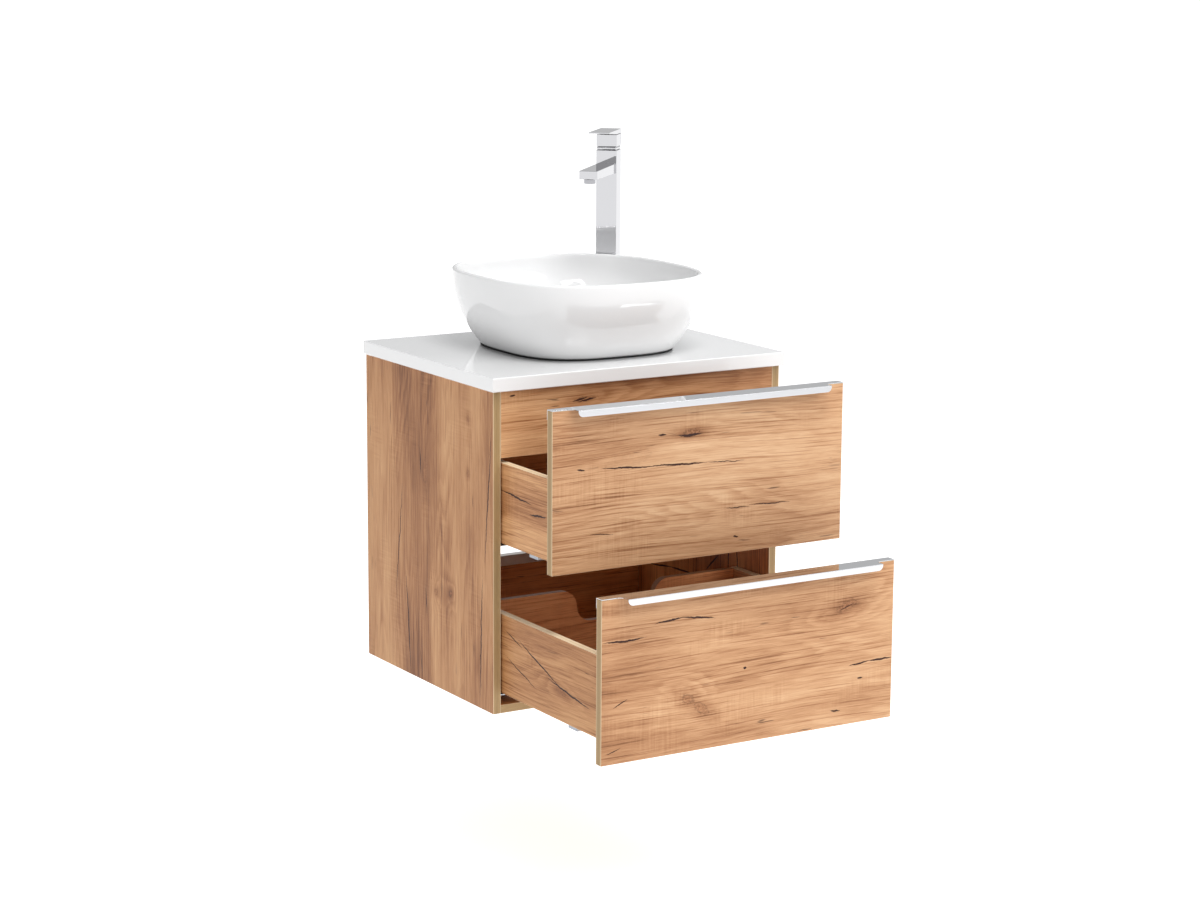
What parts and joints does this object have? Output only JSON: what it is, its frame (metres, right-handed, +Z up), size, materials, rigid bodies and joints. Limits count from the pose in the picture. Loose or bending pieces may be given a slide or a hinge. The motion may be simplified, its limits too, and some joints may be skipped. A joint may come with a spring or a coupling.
{
  "type": "washstand",
  "caption": "Wall-hung washstand: two-drawer oak-grain cabinet with chrome edge pulls, white slab top, rounded-square bowl basin on top and a tall square lever mixer tap",
  "frame": {"origin": "middle of the rear face of the hanging rail, on the wall plane", "axes": "+Z up, +Y into the wall, drawers open towards -Y, +X to the right seen from the front"},
  "size_m": [0.6126, 0.8702, 0.9817],
  "materials": {
    "oak_board": "oak-grain laminate on board, khaki edge band",
    "drawer_bottom_board": "thin laminated board",
    "pull_chrome": "polished",
    "tap_chrome": "polished",
    "waste_chrome": "polished",
    "brass_fitting": "machined",
    "pipe_plastic": "moulded",
    "ceramic_white": "gloss glaze",
    "seal_black": "soft foam rubber",
    "top_white": "gloss lacquered slab",
    "clip_grey": "moulded",
    "zinc_steel": "zinc plated"
  },
  "bodies": {
    "carcass": {"back_panel_low": "oak_board", "basin": "ceramic_white", "basin_gasket": "seal_black", "bottom_panel": "oak_board", "countertop": "top_white", "front_fascia": "oak_board", "hanging_rail": "oak_board", "rear_tie_angle": "zinc_steel", "runner_fixed_lower_left": "zinc_steel", "runner_fixed_lower_right": "zinc_steel", "runner_fixed_upper_left": "zinc_steel", "runner_fixed_upper_right": "zinc_steel", "side_panel_left": "oak_board", "side_panel_right": "oak_board", "tap_aerator": "tap_chrome", "tap_base_plate": "tap_chrome", "tap_collar": "tap_chrome", "tap_column": "tap_chrome", "tap_nut": "brass_fitting", "tap_shank": "brass_fitting", "tap_spout": "tap_chrome", "wall_hanger_left": "zinc_steel", "wall_hanger_right": "zinc_steel", "waste_flange": "waste_chrome", "waste_nut": "brass_fitting", "waste_tail": "pipe_plastic"},
    "drawer_upper": {"drawer_back_upper": "oak_board", "drawer_bottom_upper": "drawer_bottom_board", "drawer_front_upper": "oak_board", "drawer_side_upper_left": "oak_board", "drawer_side_upper_right": "oak_board", "edge_pull_upper": "pull_chrome", "runner_clip_upper_left": "clip_grey", "runner_clip_upper_right": "clip_grey", "runner_drawer_upper_left": "zinc_steel", "runner_drawer_upper_right": "zinc_steel"},
    "drawer_lower": {"drawer_back_lower": "oak_board", "drawer_bottom_lower": "drawer_bottom_board", "drawer_front_lower": "oak_board", "drawer_side_lower_left": "oak_board", "drawer_side_lower_right": "oak_board", "edge_pull_lower": "pull_chrome", "runner_clip_lower_left": "clip_grey", "runner_clip_lower_right": "clip_grey", "runner_drawer_lower_left": "zinc_steel", "runner_drawer_lower_right": "zinc_steel"},
    "runner_mid_upper": {"runner_middle_upper_left": "zinc_steel", "runner_middle_upper_right": "zinc_steel"},
    "runner_mid_lower": {"runner_middle_lower_left": "zinc_steel", "runner_middle_lower_right": "zinc_steel"},
    "tap_turning_head": {"tap_head": "tap_chrome"},
    "tap_lever_body": {"tap_lever": "tap_chrome"},
    "plug": {"waste_plug": "waste_chrome"}
  },
  "joints": [
    {"name": "upper_drawer_slide", "type": "slide", "parent": "carcass", "child": "drawer_upper", "axis": [0, -1, 0], "range_m": [-0.1822, 0.2153]},
    {"name": "lower_drawer_slide", "type": "slide", "parent": "carcass", "child": "drawer_lower", "axis": [0, -1, 0], "range_m": [-0.3449, 0.0526]},
    {"name": "upper_runner_slide", "type": "slide", "parent": "carcass", "child": "runner_mid_upper", "axis": [0, -1, 0], "range_m": [-0.0915, 0.108]},
    {"name": "lower_runner_slide", "type": "slide", "parent": "carcass", "child": "runner_mid_lower", "axis": [0, -1, 0], "range_m": [-0.173, 0.0265]},
    {"name": "tap_mix_turn", "type": "hinge", "parent": "carcass", "child": "tap_turning_head", "pos_m": [0.1943, -0.055, 0.4257], "axis": [0, 0, 1], "range_deg": [-45, 45]},
    {"name": "tap_lever_lift", "type": "hinge", "parent": "tap_turning_head", "child": "tap_lever_body", "pos_m": [0.20639, -0.04235, 0.4242], "axis": [-0.723, 0.6909, 0], "range_deg": [0, 18]},
    {"name": "plug_press", "type": "slide", "parent": "carcass", "child": "plug", "axis": [0, 0, 1], "range_m": [-0.0015, 0.006]}
  ],
  "couplings": [
    {"joint": "upper_runner_slide", "follows": "upper_drawer_slide", "ratio": 0.5},
    {"joint": "lower_runner_slide", "follows": "lower_drawer_slide", "ratio": 0.5}
  ]
}
